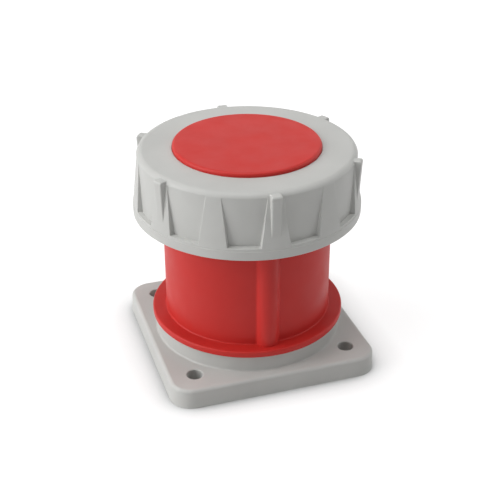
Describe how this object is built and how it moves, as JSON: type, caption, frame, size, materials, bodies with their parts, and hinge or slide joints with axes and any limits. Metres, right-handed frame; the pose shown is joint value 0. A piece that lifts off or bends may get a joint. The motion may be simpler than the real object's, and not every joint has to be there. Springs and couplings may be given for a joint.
{
  "type": "industrial panel socket",
  "caption": "Industrial panel socket with a square flange, red collar with key rib, sprung contact sleeves and a removable bayonet cap.",
  "frame": {"origin": "centre of the flange's back face, on the panel's surface", "axes": "+Z out of the panel, -Y towards the side with the key rib"},
  "size_m": [0.1212, 0.1216, 0.1202],
  "materials": {
    "grey_plastic": "moulded light grey, satin",
    "red_plastic": "moulded signal red, satin",
    "carrier_plastic": "moulded dark grey, satin",
    "seal_rubber": "moulded black rubber",
    "contact_brass": "turned, bare",
    "screw_steel": "zinc plated"
  },
  "bodies": {
    "housing": {"mounting_flange": "grey_plastic", "panel_seal": "seal_rubber", "collar_seal": "seal_rubber", "collar": "red_plastic", "collar_screws": "screw_steel", "carrier_back": "carrier_plastic", "contact_carrier": "carrier_plastic", "carrier_screws": "screw_steel", "contact_pe": "contact_brass", "contact_l1": "contact_brass", "contact_l2": "contact_brass", "contact_l3": "contact_brass", "contact_n": "contact_brass", "contact_pilot": "contact_brass", "sleeve_spring_pe": "screw_steel", "sleeve_spring_l1": "screw_steel", "sleeve_spring_l2": "screw_steel", "sleeve_spring_l3": "screw_steel", "sleeve_spring_n": "screw_steel", "sleeve_spring_pilot": "screw_steel", "terminal_screws": "screw_steel", "pilot_screw": "screw_steel"},
    "lid": {"lid": "red_plastic", "lid_gasket": "seal_rubber"},
    "ring": {"lock_ring": "grey_plastic", "ring_clip": "screw_steel"}
  },
  "joints": [
    {"name": "lid_lift", "type": "slide", "parent": "housing", "child": "lid", "axis": [0, 0, 1], "range_m": [0, 0.06]},
    {"name": "ring_turn", "type": "hinge", "parent": "lid", "child": "ring", "pos_m": [0, 0, 0.1], "axis": [0, 0, 1], "range_deg": [-40, 0]}
  ]
}
